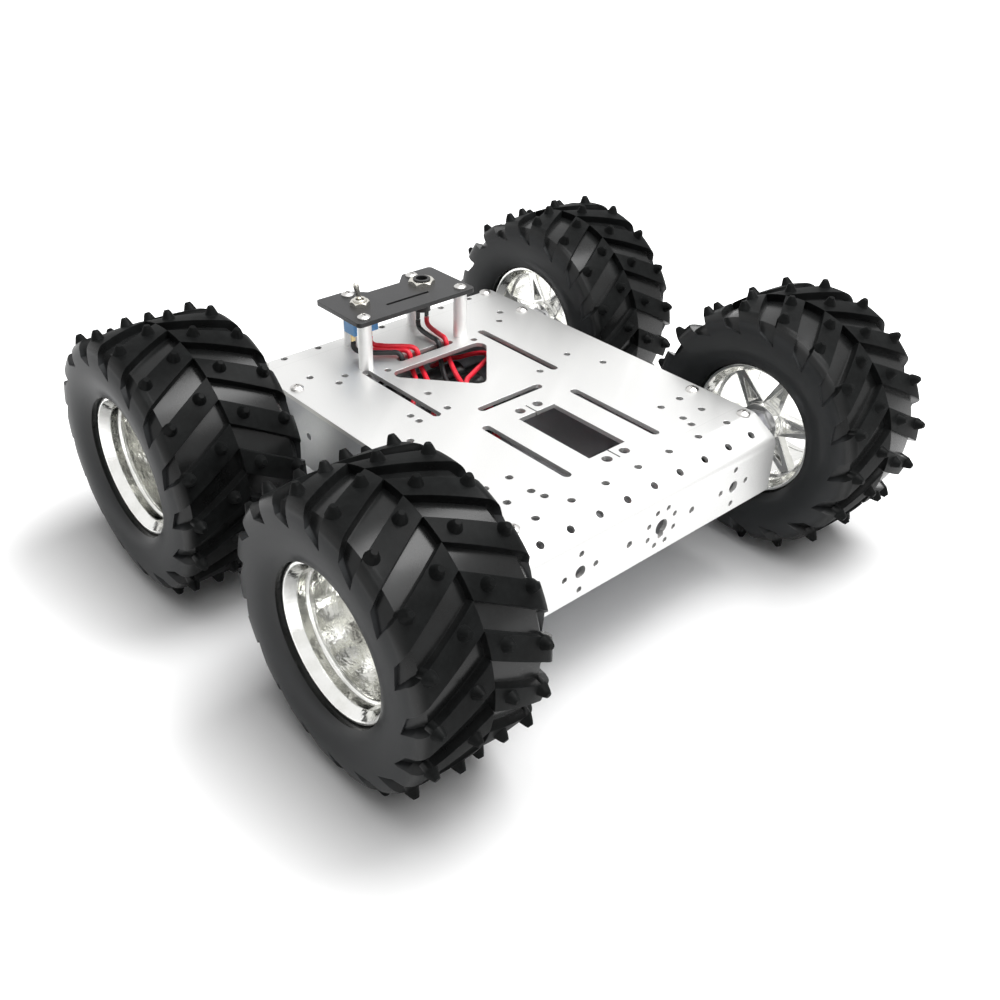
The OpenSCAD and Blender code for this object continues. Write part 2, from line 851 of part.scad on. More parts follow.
module switch_bracket() {
  color([0.07, 0.07, 0.08])
    translate([0, 0, post_top])
      linear_extrude(height = sheet)
        difference() {
          bracket_outline();
          for (p = POSTS)
            translate(p)
              circle(r = m3_r + seat_gap, $fn = 24);
          translate(toggle_at)
            circle(r = bushing_r + seat_gap, $fn = mid);
          translate(jack_at)
            circle(r = jack_r + seat_gap, $fn = mid);
          translate([post_x - bracket_slot_back, bracket_y - bracket_slot[1] / 2 + 1])
            square(bracket_slot);
        }
}

module bracket_posts() {
  color([0.85, 0.85, 0.86])
    for (p = POSTS)
      translate([p[0], p[1], deck_z])
        difference() {
          cylinder(h = post_h, r = post_r, $fn = mid);
          translate([0, 0, -1])
            cylinder(h = post_h + 2, r = m3_r + seat_gap / 2, $fn = 24);
        }
}

module bracket_screws() {
  color([0.78, 0.78, 0.79])
    for (p = POSTS)
      translate([p[0], p[1], bracket_top])
        pan_screw(sheet + bracket_screw_l);
}

module post_screws() {
  color([0.78, 0.78, 0.79])
    for (p = POSTS)
      translate([p[0], p[1], deck_z - sheet])
        mirror([0, 0, 1])
          pan_screw(sheet + post_screw_l);
}

module toggle_body() {
  color([0.16, 0.36, 0.62])
    translate([toggle_at[0], toggle_at[1], post_top - toggle_box[2] / 2 - 0.8])
      union() {
        cube([toggle_box[0], toggle_box[1], toggle_box[2]], center = true);
        translate([0, 0, toggle_box[2] / 2])
          cylinder(h = 0.8, r = bushing_r + 0.8, $fn = mid);
      }
}

module toggle_bushing() {
  color([0.8, 0.8, 0.81])
    translate([toggle_at[0], toggle_at[1], post_top])
      difference() {
        cylinder(h = bushing_h, r = bushing_r, $fn = mid);
        translate([0, 0, lever_pivot_z - post_top - 2])
          cylinder(h = bushing_h, r1 = 1.6, r2 = 3.2, $fn = mid);
        translate([0, 0, lever_pivot_z - post_top - 2])
          cylinder(h = bushing_h, r = 1.8, $fn = mid);
      }
}

module hex_nut(af, bore_r, height) {
  difference() {
    intersection() {
      cylinder(h = height, r = af / 2 / cos(30), $fn = 6);
      cylinder(h = height, r1 = af / 2 / cos(30) + 1, r2 = af / 2, $fn = mid);
    }
    translate([0, 0, -1])
      cylinder(h = height + 2, r = bore_r, $fn = mid);
  }
}

module toggle_nut() {
  color([0.82, 0.81, 0.78])
    translate([toggle_at[0], toggle_at[1], bracket_top])
      hex_nut(8, bushing_r + seat_gap, 2.2);
}

module toggle_lever() {
  color([0.82, 0.82, 0.82])
    translate([toggle_at[0], toggle_at[1], lever_pivot_z])
      rotate([lever_tilt, 0, 0])
        union() {
          sphere(r = 1.5, $fn = mid);
          cylinder(h = lever_l, r1 = lever_r * 0.8, r2 = lever_r * 1.1, $fn = mid);
          translate([0, 0, lever_l])
            sphere(r = lever_r * 1.1, $fn = mid);
        }
}

module toggle_terminals() {
  color([0.75, 0.6, 0.25])
    for (k = [-1:1])
      translate([toggle_at[0] - 0.4, toggle_at[1] + k * 4.7 - 1, post_top - toggle_box[2] - 0.8 - 4])
        cube([0.8, 2, 4]);
}

module jack_body() {
  color([0.10, 0.10, 0.11])
    translate([jack_at[0], jack_at[1], post_top])
      difference() {
        union() {
          translate([0, 0, -jack_body_h])
            cylinder(h = jack_body_h, r = jack_r, $fn = mid);
          translate([0, 0, -jack_flange_h])
            cylinder(h = jack_flange_h, r = jack_body_r, $fn = mid);
          cylinder(h = sheet + jack_nut_h + 0.6, r = jack_r, $fn = mid);
          for (s = [-1, 1])
            translate([-0.4, s * 2.6 - 1, -jack_body_h - 4])
              cube([0.8, 2, 4.2]);
        }
        translate([0, 0, -jack_body_h + 2])
          cylinder(h = jack_body_h + 10, r = 2.75, $fn = mid);
      }
}

module jack_nut() {
  color([0.82, 0.81, 0.78])
    translate([jack_at[0], jack_at[1], bracket_top])
      hex_nut(11, jack_r + seat_gap, jack_nut_h);
}

module battery_pack() {
  color([0.08, 0.08, 0.09])
    translate([battery_x, 0, floor_z + sheet + cell_r])
      union() {
        for (k = [0:cells - 1])
          translate([(k - (cells - 1) / 2) * 2 * cell_r, cell_l / 2, 0])
            rotate([90, 0, 0])
              cylinder(h = cell_l, r = cell_r, $fn = mid);
        translate([-(cells - 1) * cell_r, -cell_l / 2, -cell_r])
          cube([2 * (cells - 1) * cell_r, cell_l, 1.6 * cell_r]);
      }
}

// Wires: each route runs from its terminal, past hand-laid points, to its far end
function route_dir(p, i) = unit(p[min(i + 1, len(p) - 1)] - p[max(i - 1, 0)]);
function side_dir(d) = unit(abs(d[2]) > 0.9 ? cross([1, 0, 0], d) : cross([0, 0, 1], d));
function carried_side(p, i) =
  let (d = route_dir(p, i))
  i == 0 ? side_dir(d) : let (u = carried_side(p, i - 1)) unit(u - (u * d) * d);
function ring_points(p, i, r, n) =
  let (d = route_dir(p, i), u = carried_side(p, i), v = cross(d, u))
  [for (k = [0:n - 1]) p[i] + r * (cos(360 / n * k) * u + sin(360 / n * k) * v)];

module wire(route, r) {
  n = 8;
  rings = len(route);
  points = [for (i = [0:rings - 1]) each ring_points(route, i, r, n)];
  sides = [for (i = [0:rings - 2], k = [0:n - 1])
             let (a = i * n + k, b = i * n + (k + 1) % n)
             each [[a, a + n, b + n], [a, b + n, b]]];
  caps = [[for (k = [0:n - 1]) k], [for (k = [n - 1:-1:0]) (rings - 1) * n + k]];
  translate([0, 0, deck_z])
    polyhedron(points = points, faces = concat(sides, caps), convexity = 6);
}

toggle_tab_z = post_h - toggle_box[2] - 0.8 - 4;
jack_tab_z = post_h - jack_body_h - 4;
cell_end = cell_l / 2 + side_gap;
tab_x = wheelbase / 2 - 6;
tab_y = web_in - gearbox_l - motor_l - 4.5 - side_gap;
pack_front = battery_x + cells * cell_r + side_gap;
first_x = battery_x + (cells - 1) * cell_r;
second_x = first_x - 2 * cell_r;
cell_z = -box_h + sheet + cell_r;
wire_start = 0.5;
SWITCH_RED = [
  [toggle_at[0], toggle_at[1] + 4.7, toggle_tab_z - wire_start], [toggle_at[0], toggle_at[1] + 4.7, 5.2],
  [-64.2, -18.9, 3.6], [-61.6, -16.2, 2.9], [-57.6, -11.6, 2.7], [-54.4, -7.4, 2.5], [-51.6, -4.8, 2],
  [-49.9, -4.3, 0.6], [-49.5, -4.2, -1.4], [-48.9, -4.4, -3.8], [-46, -5, -6], [-41, -6.6, -8],
  [-34, -9.6, -9.4], [-28, -13.2, -10.6], [-22, -17.4, -11.8], [-16.6, -21.8, -13], [-13.4, -25.6, -14.2],
  [-12.4, -28.6, -17.2], [first_x, -30.2, -20.4], [first_x, -30, -22.1], [first_x, -28.9, -23.1],
  [first_x, -27.4, cell_z], [first_x, -cell_end, cell_z]];
SWITCH_RED_TWO = [
  [toggle_at[0], toggle_at[1], toggle_tab_z - wire_start], [toggle_at[0], toggle_at[1], 5.2],
  [-64.2, -23.6, 3.4], [-61.8, -21, 2.2], [-57.6, -16.2, 1.9], [-54.4, -12, 1.9], [-51.6, -9.2, 1.9],
  [-49.9, -8.8, 0.6], [-49.5, -8.8, -1.4], [-49, -9, -3.8], [-46.4, -9.8, -6.2], [-42, -11.6, -8.4],
  [-38, -15, -10.2], [-33.4, -19.4, -11.8], [-29.4, -24, -13.4], [-27.2, -28, -16.6],
  [second_x, -30.2, -20.2], [second_x, -30, -22.1], [second_x, -28.9, -23.1],
  [second_x, -27.4, cell_z], [second_x, -cell_end, cell_z]];
SWITCH_BLACK = [
  [toggle_at[0], toggle_at[1] - 4.7, toggle_tab_z - wire_start], [toggle_at[0], toggle_at[1] - 4.7, 5.2],
  [-64.2, -28.3, 3.4], [-61.8, -25.6, 2.4], [-57.6, -20.8, 2.2], [-54.4, -16.6, 2.2], [-51.6, -13.8, 2],
  [-49.9, -13.4, 0.6], [-49.5, -13.4, -1.4], [-49.5, -13.4, -3.6], [-50.6, -13.6, -5.8], [-54, -14, -8],
  [-58.5, -14.2, -11.4], [-62.4, -14.6, -15.6], [-65.2, -15.4, -18.8], [-66.4, -17, -20],
  [-tab_x, -18.8, -axle_drop], [-tab_x, -tab_y, -axle_drop]];
JACK_RED = [
  [jack_at[0], jack_at[1] + 2.6, jack_tab_z - wire_start], [jack_at[0], jack_at[1] + 2.6, 4.6],
  [-66.6, 15.1, 3.1], [-64.2, 14.8, 2.3], [-59.6, 14.2, 2.1], [-54.6, 13.4, 2.1], [-51.6, 13, 2],
  [-49.9, 12.8, 0.6], [-49.5, 12.8, -1.4], [-48.9, 12.4, -3.8], [-45.6, 11.2, -6.2], [-40.6, 9.2, -8.2],
  [-33, 6.2, -9.6], [-24, 3.6, -10.6], [-14, 2.2, -11.6], [-6.8, 1.8, -13.2], [-3, 1.5, -15.2],
  [-0.6, 1.4, -18.4], [-0.2, 1.4, -21.3], [-1.2, 1.4, -22.9], [-2.8, 1.4, cell_z],
  [pack_front, 1.4, cell_z]];
JACK_BLACK = [
  [jack_at[0], jack_at[1] - 2.6, jack_tab_z - wire_start], [jack_at[0], jack_at[1] - 2.6, 4.6],
  [-66.6, 9.9, 3.1], [-64.2, 9.6, 2.3], [-59.6, 9.2, 2], [-54.6, 8.8, 2], [-51.6, 8.6, 2],
  [-49.9, 8.5, 0.6], [-49.5, 8.5, -1.4], [-48.9, 8.1, -3.8], [-45.8, 6.6, -6.8], [-41, 4, -9.4],
  [-34, 1, -11.4], [-25, -1.2, -12.6], [-14, -2.2, -13.4], [-7, -2.6, -14.4], [-3.2, -2.8, -16.4],
  [-0.8, -2.9, -19.2], [-0.4, -3, -21.6], [-1.4, -3, -22.9], [-3, -3, cell_z],
  [pack_front, -3, cell_z]];
MOTOR_RED = [
  [-tab_x, tab_y, -axle_drop], [-tab_x, 18.8, -axle_drop], [-65.6, 16.8, -19.4], [-63, 16.6, -17.8],
  [-59, 19.8, -14.2], [-54.4, 25, -12.8], [-49.4, 29.8, -10.6], [-44, 32, -9], [-38.4, 29, -8],
  [-33.6, 21.4, -7.4], [-29, 12, -7.2], [-24.6, 4, -7.2], [-17, -0.6, -7.2], [-6, -2.6, -7.2],
  [5, -5.6, -7.2], [13, -11, -7.2], [20, -17.4, -7.6], [28, -20.8, -8.4], [36, -21.4, -9.8],
  [44, -20.4, -12], [52, -18.4, -14.8], [59, -16.4, -17.6], [63.6, -15.8, -19.4], [66, -16.8, -20],
  [tab_x, -18.8, -axle_drop], [tab_x, -tab_y, -axle_drop]];

module switch_wire_red() {
  color([0.80, 0.05, 0.08])
    wire(SWITCH_RED, wire_r);
}

module switch_wire_red_two() {
  color([0.80, 0.05, 0.08])
    wire(SWITCH_RED_TWO, wire_r);
}

module switch_wire_black() {
  color([0.05, 0.05, 0.05])
    wire(SWITCH_BLACK, wire_r);
}

module jack_wire_red() {
  color([0.80, 0.05, 0.08])
    wire(JACK_RED, wire_r);
}

module jack_wire_black() {
  color([0.05, 0.05, 0.05])
    wire(JACK_BLACK, wire_r);
}

module motor_wire_red() {
  color([0.80, 0.05, 0.08])
    wire(MOTOR_RED, wire_r);
}

for (c = CORNERS) {
  at_wheel(c) tyre();
  at_wheel(c) rim();
  at_wheel(c) hub_adapter();
  at_wheel(c) wheel_screw();
  at_wheel(c) drive_shaft();
  at_axle(c) gearbox();
  at_axle(c) motor();
  at_axle(c) terminals();
}
top_plate();
side_plate(1);  // left_side_plate
side_plate(-1);  // right_side_plate
base_plate();
deck_screws();
base_screws();
gearbox_screws();
switch_bracket();
bracket_posts();
bracket_screws();
post_screws();
toggle_body();
toggle_bushing();
toggle_nut();
toggle_lever();
toggle_terminals();
jack_body();
jack_nut();
battery_pack();
switch_wire_red();
switch_wire_red_two();
switch_wire_black();
jack_wire_red();
jack_wire_black();
motor_wire_red();
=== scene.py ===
"""Looks of a four-wheel-drive off-road robot chassis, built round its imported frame.

The frame brings every rigid piece to its place. This script gives each piece its finish, lays the
leads, cuts the switch's thread, and sets up the floor, lamps and camera.
"""

import logging
import math
from dataclasses import dataclass
from enum import Enum

import bmesh
import bpy
from mathutils import Matrix, Vector


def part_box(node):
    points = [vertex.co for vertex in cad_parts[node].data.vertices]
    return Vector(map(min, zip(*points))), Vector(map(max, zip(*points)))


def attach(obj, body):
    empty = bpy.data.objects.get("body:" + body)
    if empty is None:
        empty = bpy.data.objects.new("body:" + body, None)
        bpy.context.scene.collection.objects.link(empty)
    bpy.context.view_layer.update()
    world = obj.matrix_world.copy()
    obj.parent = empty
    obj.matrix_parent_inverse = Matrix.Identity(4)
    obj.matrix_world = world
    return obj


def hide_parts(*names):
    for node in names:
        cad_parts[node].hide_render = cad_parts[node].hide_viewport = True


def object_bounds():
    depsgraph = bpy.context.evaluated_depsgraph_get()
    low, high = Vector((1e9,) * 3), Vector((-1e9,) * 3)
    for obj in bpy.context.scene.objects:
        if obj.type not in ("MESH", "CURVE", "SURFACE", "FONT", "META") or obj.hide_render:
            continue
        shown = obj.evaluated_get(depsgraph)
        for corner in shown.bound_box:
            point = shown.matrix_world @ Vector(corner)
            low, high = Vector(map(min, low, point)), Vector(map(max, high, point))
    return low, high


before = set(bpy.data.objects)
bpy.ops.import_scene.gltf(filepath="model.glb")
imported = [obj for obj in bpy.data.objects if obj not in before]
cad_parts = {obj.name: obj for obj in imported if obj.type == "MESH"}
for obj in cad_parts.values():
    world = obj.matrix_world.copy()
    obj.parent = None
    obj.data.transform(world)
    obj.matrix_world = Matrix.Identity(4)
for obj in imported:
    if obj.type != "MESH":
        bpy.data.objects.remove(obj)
CAD_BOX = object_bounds()

MM = 0.001
CHASSIS = "chassis"

log = logging.getLogger("chassis")

Colour = tuple[float, float, float]
Point = tuple[float, float, float]


class Signal:
    """An output socket in a material's node tree; arithmetic on it adds Math nodes."""

    def __init__(self, shade: "Shade", socket: bpy.types.NodeSocket) -> None:
        """Wraps a socket.

        Args:
            shade: The material that the socket belongs to.
            socket: The output socket.
        """
        self.shade = shade
        self.socket = socket

    def math(self, operation: str, *values: "Signal | float", clamp: bool = False) -> "Signal":
        """Adds a Math node on this signal.

        Args:
            operation: The Math node's operation.
            values: The other operands, in order.
            clamp: Whether the result is held between 0 and 1.

        Returns:
            The node's result.
        """
        settings = {"operation": operation, "use_clamp": clamp}
        return self.shade.add("ShaderNodeMath", settings, dict(enumerate((self, *values))))

    def __add__(self, other: "Signal | float") -> "Signal":
        """Sum."""
        return self.math("ADD", other)

    __radd__ = __add__

    def __mul__(self, other: "Signal | float") -> "Signal":
        """Product."""
        return self.math("MULTIPLY", other)

    __rmul__ = __mul__

    def __sub__(self, other: "Signal | float") -> "Signal":
        """Difference."""
        return self.math("SUBTRACT", other)

    def __rsub__(self, other: float) -> "Signal":
        """Difference from a number."""
        return (self * -1.0) + other

    def __pow__(self, other: "Signal | float") -> "Signal":
        """Power."""
        return self.math("POWER", other)

    def __abs__(self) -> "Signal":
        """Size without sign."""
        return self.math("ABSOLUTE")

    def ramp(self, low: float, high: float) -> "Signal":
        """Rises smoothly from 0 at low to 1 at high.

        Args:
            low: The value that gives 0.
            high: The value that gives 1.

        Returns:
            The eased step.
        """
        settings = {"interpolation_type": "SMOOTHSTEP", "clamp": True}
        return self.shade.add("ShaderNodeMapRange", settings, {"Value": self, 1: low, 2: high})

    def band(self, middle: float, half: float, soft: float) -> "Signal":
        """Is 1 within half of middle and falls to 0 over soft beyond it."""
        return 1.0 - abs(self - middle).ramp(half, half + soft)


class Shade:
    """A procedural material under construction."""

    def __init__(self, name: str) -> None:
        """Starts an empty node tree.

        Args:
            name: The material's name.
        """
        self.material = bpy.data.materials.new(name)
        self.material.use_nodes = True
        self.tree = self.material.node_tree
        self.tree.nodes.clear()
        self.output = self.tree.nodes.new("ShaderNodeOutputMaterial")

    def node(self, kind: str, settings: dict, sockets: dict) -> bpy.types.Node:
        """Adds a node.

        Args:
            kind: The node's type.
            settings: Its properties, set before its sockets.
            sockets: Values or signals of its inputs, by name or place.

        Returns:
            The node.
        """
        made = self.tree.nodes.new(kind)
        for name, value in settings.items():
            setattr(made, name, value)
        for key, value in sockets.items():
            if isinstance(value, Signal):
                self.tree.links.new(value.socket, made.inputs[key])
            elif isinstance(value, tuple) and made.inputs[key].type == "RGBA":
                made.inputs[key].default_value = (*value, 1.0)
            else:
                made.inputs[key].default_value = value
        return made

    def add(self, kind: str, settings: dict, sockets: dict, output: int | str = 0) -> Signal:
        """Adds a node and returns one of its outputs.

        Args:
            kind: The node's type.
            settings: Its properties.
            sockets: Values or signals of its inputs.
            output: The wanted output, by name or place.

        Returns:
            The output as a signal.
        """
        return Signal(self, self.node(kind, settings, sockets).outputs[output])

    def place(self, centre: Point = (0, 0, 0), turn: Point = (0, 0, 0),
              scale: Point = (1, 1, 1)) -> Signal:
        """Gives Object coordinates about a centre.

        Args:
            centre: The point that becomes the origin, in metres.
            turn: The turn of the pattern, in radians.
            scale: The stretch of the pattern.

        Returns:
            The coordinates as a vector.
        """
        source = self.add("ShaderNodeTexCoord", {}, {}, "Object")
        return self.add("ShaderNodeMapping", {"vector_type": "TEXTURE"},
                        {"Vector": source, "Location": centre, "Rotation": turn, "Scale": scale})

    def axes(self, vector: Signal) -> tuple[Signal, Signal, Signal]:
        """Splits a vector into its three numbers."""
        split = self.node("ShaderNodeSeparateXYZ", {}, {"Vector": vector})
        return tuple(Signal(self, socket) for socket in split.outputs)

    def noise(self, vector: Signal, size: float, detail: float = 3.0,
              rough: float = 0.55) -> Signal:
        """Adds a cloud pattern.

        Args:
            vector: The coordinates.
            size: The size of its features, in metres.
            detail: The octaves.
            rough: The weight of the finer octaves.

        Returns:
            The pattern, about 0.5 on average.
        """
        sockets = {"Vector": vector, "Scale": 1 / size, "Detail": detail, "Roughness": rough}
        return self.add("ShaderNodeTexNoise", {}, sockets, 0)

    def grains(self, vector: Signal, size: float) -> Signal:
        """Gives the distance to the nearest of scattered grains, in grain sizes."""
        sockets = {"Vector": vector, "Scale": 1 / size}
        return self.add("ShaderNodeTexVoronoi", {}, sockets, "Distance")

    def mix(self, factor: Signal | float, low: Signal | Colour, high: Signal | Colour) -> Signal:
        """Mixes two colours.

        Args:
            factor: 0 for the first, 1 for the second.
            low: The first colour.
            high: The second colour.

        Returns:
            The mixed colour.
        """
        return self.add("ShaderNodeMix", {"data_type": "RGBA"}, {0: factor, 6: low, 7: high}, 2)

    def edges(self, radius: float) -> tuple[Signal, Signal]:
        """Finds a node's edges by rounding them in the shading.

        Args:
            radius: The rounding, in metres.

        Returns:
            The rounded normal, and a mask that is 1 along the edges.
        """
        rounded = self.add("ShaderNodeBevel", {"samples": 6}, {"Radius": radius})
        flat = self.add("ShaderNodeNewGeometry", {}, {}, "Normal")
        same = self.add("ShaderNodeVectorMath", {"operation": "DOT_PRODUCT"},
                        {0: rounded, 1: flat}, "Value")
        return rounded, (1.0 - same).ramp(0.01, 0.16)

    def bump(self, height: Signal, depth: float, normal: Signal | None = None) -> Signal:
        """Turns a height pattern into a normal.

        Args:
            height: The pattern, 0 to 1.
            depth: Its depth, in metres.
            normal: The normal that it disturbs.

        Returns:
            The disturbed normal.
        """
        sockets = {"Height": height, "Strength": 1.0, "Distance": depth}
        if normal is not None:
            sockets["Normal"] = normal
        return self.add("ShaderNodeBump", {}, sockets)

    def finish(self, **sockets: "Signal | float | Colour") -> bpy.types.Material:
        """Ends the material in a Principled shader.

        Args:
            sockets: The shader's inputs, with underscores for spaces.

        Returns:
            The material.
        """
        named = {key.replace("_", " "): value for key, value in sockets.items()}
        shader = self.node("ShaderNodeBsdfPrincipled", {}, named)
        self.tree.links.new(shader.outputs[0], self.output.inputs["Surface"])
        return self.material


@dataclass(frozen=True)
class Rubber:
    """Moulded tyre rubber: dull worn bars, glossier ground between them, smooth grey sidewalls."""

    name: str
    centre: Point
    black: Colour = (0.0036, 0.0038, 0.0038)
    worn: Colour = (0.026, 0.028, 0.028)
    wall: Colour = (0.042, 0.044, 0.046)
    crown_r: float = 52.6 * MM
    bar_top_r: float = 55.0 * MM
    wall_from: float = 25.5 * MM
    wall_blend: float = 3 * MM
    shoulder_r: tuple[float, float] = (49 * MM, 53 * MM)
    edge_r: float = 0.45 * MM
    grain_depth: float = 0.06 * MM

    def build(self) -> bpy.types.Material:
        """Makes the rubber, with its zones measured from the wheel's own axle.

        Returns:
            The material.
        """
        s = Shade(self.name)
        spot = s.place(self.centre)
        x, y, z = s.axes(spot)
        radius = (x * x + z * z) ** 0.5
        top = radius.ramp(self.crown_r, self.bar_top_r)
        side = abs(y).ramp(self.wall_from, self.wall_from + self.wall_blend)
        wall = side * (1.0 - radius.ramp(*self.shoulder_r))
        rounded, edge = s.edges(self.edge_r)
        cloud = s.noise(spot, 14 * MM, 4)
        dust = s.noise(spot, 3 * MM, 5, 0.65)
        grain = s.noise(spot, 0.35 * MM, 2)
        scuff = (edge * 0.75 + top * 0.25) * (dust.ramp(0.35, 0.75) * 0.8 + 0.2)
        colour = s.mix(cloud.ramp(0.3, 0.8) * 0.35, self.black, self.worn)
        colour = s.mix(wall * 0.7, colour, self.wall)
        colour = s.mix(scuff * 0.7, colour, self.worn)
        rough = 0.42 + top * 0.10 + wall * 0.04 + cloud * 0.1 + edge * 0.05
        gloss = (1.0 - top) * (1.0 - wall) * 0.5 + wall * 0.25 + 0.05
        height = grain * 0.5 + dust * 0.5
        return s.finish(Base_Color=colour, Roughness=rough, Specular_IOR_Level=0.03,
                        Coat_Weight=gloss, Coat_Roughness=0.24,
                        Normal=s.bump(height, self.grain_depth, rounded))


@dataclass(frozen=True)
class Plated:
    """A bright plated or bare metal with fine handling marks."""

    name: str
    tone: Colour
    dull: Colour
    rough: float = 0.12
    spread: float = 0.10
    edge_r: float = 0.25 * MM
    speck: float = 0.9 * MM
    depth: float = 0.02 * MM
    ripple: float = 0.0

    def build(self) -> bpy.types.Material:
        """Makes the finish.

        Returns:
            The material.
        """
        s = Shade(self.name)
        spot = s.place()
        rounded, edge = s.edges(self.edge_r)
        cloud = s.noise(spot, 9 * MM, 4)
        fine = s.noise(spot, self.speck, 3)
        if self.ripple:
            rounded = s.bump(s.noise(spot, 4 * MM, 2), self.ripple, rounded)
        colour = s.mix((cloud.ramp(0.35, 0.75) * 0.6 + fine * 0.25), self.tone, self.dull)
        colour = s.mix(edge * 0.5, colour, self.tone)
        rough = self.rough + cloud.ramp(0.3, 0.8) * self.spread + fine * self.spread * 0.5
        return s.finish(Base_Color=colour, Metallic=1.0, Roughness=rough,
                        Normal=s.bump(fine, self.depth, rounded))


@dataclass(frozen=True)
class BlastedAluminium:
    """Bead-blasted, silver-anodised sheet with handling marks, and a bend line that a bump presses in and
    painted shade darkens.
    """

    name: str
    tone: Colour = (0.83, 0.83, 0.82)
    shade: Colour = (0.70, 0.70, 0.69)
    bare_edge: Colour = (0.90, 0.90, 0.91)
    rough: float = 0.40
    line_x: float = 77.5 * MM
    edge_r: float = 0.30 * MM
    pit: float = 0.30 * MM
    depth: float = 0.025 * MM

    def build(self) -> bpy.types.Material:
        """Makes the finish.

        Returns:
            The material.
        """
        s = Shade(self.name)
        spot = s.place()
        x, _, _ = s.axes(spot)
        rounded, edge = s.edges(self.edge_r)
        pits = s.grains(spot, self.pit)
        speck = s.noise(spot, 0.45 * MM, 2)
        cloud = s.noise(spot, 40 * MM, 4)
        smear = s.noise(s.place(turn=(0, 0, 0.6), scale=(1, 8, 1)), 22 * MM, 4)
        # Painted shade: a thin dark band across the sheet at the bend line, mixed into the colour; the same
        # band also sinks the bump.
        line = abs(x).band(self.line_x, 0.10 * MM, 0.25 * MM)
        # The mottle is the sheet's own random tone; the bend band in it is painted shade.
        mottle_and_bend_shade = speck.ramp(0.25, 0.75) * 0.35 + cloud * 0.3 + line * 0.35
        colour = s.mix(mottle_and_bend_shade, self.tone, self.shade)
        colour = s.mix(edge * 0.6, colour, self.bare_edge)
        rough = self.rough + speck * 0.10 + smear.ramp(0.45, 0.8) * 0.08 - edge * 0.12
        height = pits * 0.6 + speck * 0.4 - line * 0.8
        return s.finish(Base_Color=colour, Metallic=0.9, Roughness=rough,
                        Normal=s.bump(height, self.depth, rounded))


@dataclass(frozen=True)
class Moulded:
    """Plastic, lacquer or wrap: an even colour with slight mottling, grain and paler edges."""

    name: str
    tone: Colour
    mottle: Colour
    rough: float = 0.4
    grain: float = 0.4 * MM
    depth: float = 0.02 * MM
    wave: float = 0.0
    level: float = 0.5
    edge_r: float = 0.3 * MM

    def build(self) -> bpy.types.Material:
        """Makes the finish.

        Returns:
            The material.
        """
        s = Shade(self.name)
        spot = s.place()
        rounded, edge = s.edges(self.edge_r)
        cloud = s.noise(spot, 8 * MM, 4)
        fine = s.noise(spot, self.grain, 3)
        colour = s.mix(cloud.ramp(0.35, 0.8) * 0.6 + edge * 0.4, self.tone, self.mottle)
        rough = self.rough + cloud * 0.12 + fine * 0.08 - 0.1
        normal = s.bump(fine, self.depth, rounded)
        if self.wave:
            normal = s.bump(s.noise(s.place(scale=(1, 4, 1)), 5 * MM, 3), self.wave, normal)
        return s.finish(Base_Color=colour, Roughness=rough, Specular_IOR_Level=self.level,
                        Normal=normal)


@dataclass(frozen=True)
class PaleFloor:
    """The studio floor: white to the camera, and it keeps the object's shadow."""

    name: str = "pale_floor"
    tone: Colour = (0.93, 0.93, 0.93)
    cloud: Colour = (0.90, 0.90, 0.90)
    stand: tuple[float, float] = (0.120, 0.130)
    fade: float = 0.10
    glow: float = 0.8

    def build(self) -> bpy.types.Material:
        """Makes the floor, which glows only outside the rectangle that the wheels stand on.

        Returns:
            The material.
        """
        s = Shade(self.name)
        path = s.node("ShaderNodeLightPath", {}, {})
        camera, glossy, clear = (Signal(s, path.outputs[f"Is {kind} Ray"])
                                 for kind in ("Camera", "Glossy", "Transmission"))
        x, y, _ = s.axes(s.place())
        beside = (abs(x) - self.stand[0]).math("MAXIMUM", 0.0)
        beyond = (abs(y) - self.stand[1]).math("MAXIMUM", 0.0)
        away = (beside * beside + beyond * beyond) ** 0.5
        seen = camera.math("MAXIMUM", glossy).math("MAXIMUM", clear)
        lift = seen * away.ramp(0.0, self.fade) * self.glow
        speck = s.noise(s.place(), 60 * MM, 2)
        colour = s.mix(speck * 0.1, self.tone, self.cloud)
        body = s.node("ShaderNodeBsdfDiffuse", {}, {"Color": colour})
        light = s.node("ShaderNodeEmission", {}, {"Color": (1.0, 1.0, 1.0), "Strength": lift})
        both = s.node("ShaderNodeAddShader", {}, {})
        s.tree.links.new(body.outputs[0], both.inputs[0])
        s.tree.links.new(light.outputs[0], both.inputs[1])
        s.tree.links.new(both.outputs[0], s.output.inputs["Surface"])
        return s.material


class Metal(Enum):
    """The metal finishes that several pieces share."""

    CHROME = Plated("chrome_plating", (0.92, 0.92, 0.90), (0.74, 0.74, 0.70), 0.06, 0.07, 0.9 * MM,
                    ripple=0.15 * MM)
    NICKEL = Plated("nickel_plating", (0.80, 0.78, 0.72), (0.55, 0.53, 0.48), 0.14, 0.14, 0.2 * MM)
    STEEL = Plated("bright_steel", (0.74, 0.73, 0.71), (0.52, 0.51, 0.50), 0.2, 0.15, 0.2 * MM)
    SHAFT = Plated("ground_steel", (0.62, 0.62, 0.64), (0.42, 0.42, 0.44), 0.22, 0.12, 0.15 * MM)
    GEARBOX = Plated("gearbox_steel", (0.60, 0.60, 0.61), (0.42, 0.42, 0.44), 0.3, 0.14, 0.3 * MM)
    MOTOR = Plated("drawn_can", (0.56, 0.57, 0.58), (0.40, 0.41, 0.43), 0.28, 0.14, 0.4 * MM)
    HUB = Plated("turned_aluminium", (0.74, 0.74, 0.76), (0.56, 0.56, 0.58), 0.26, 0.12, 0.2 * MM)
    POST = Plated("satin_aluminium", (0.93, 0.93, 0.92), (0.84, 0.84, 0.84), 0.5, 0.1, 0.25 * MM)
    BRASS = Plated("stamped_brass", (0.74, 0.60, 0.32), (0.55, 0.42, 0.22), 0.24, 0.14, 0.1 * MM)


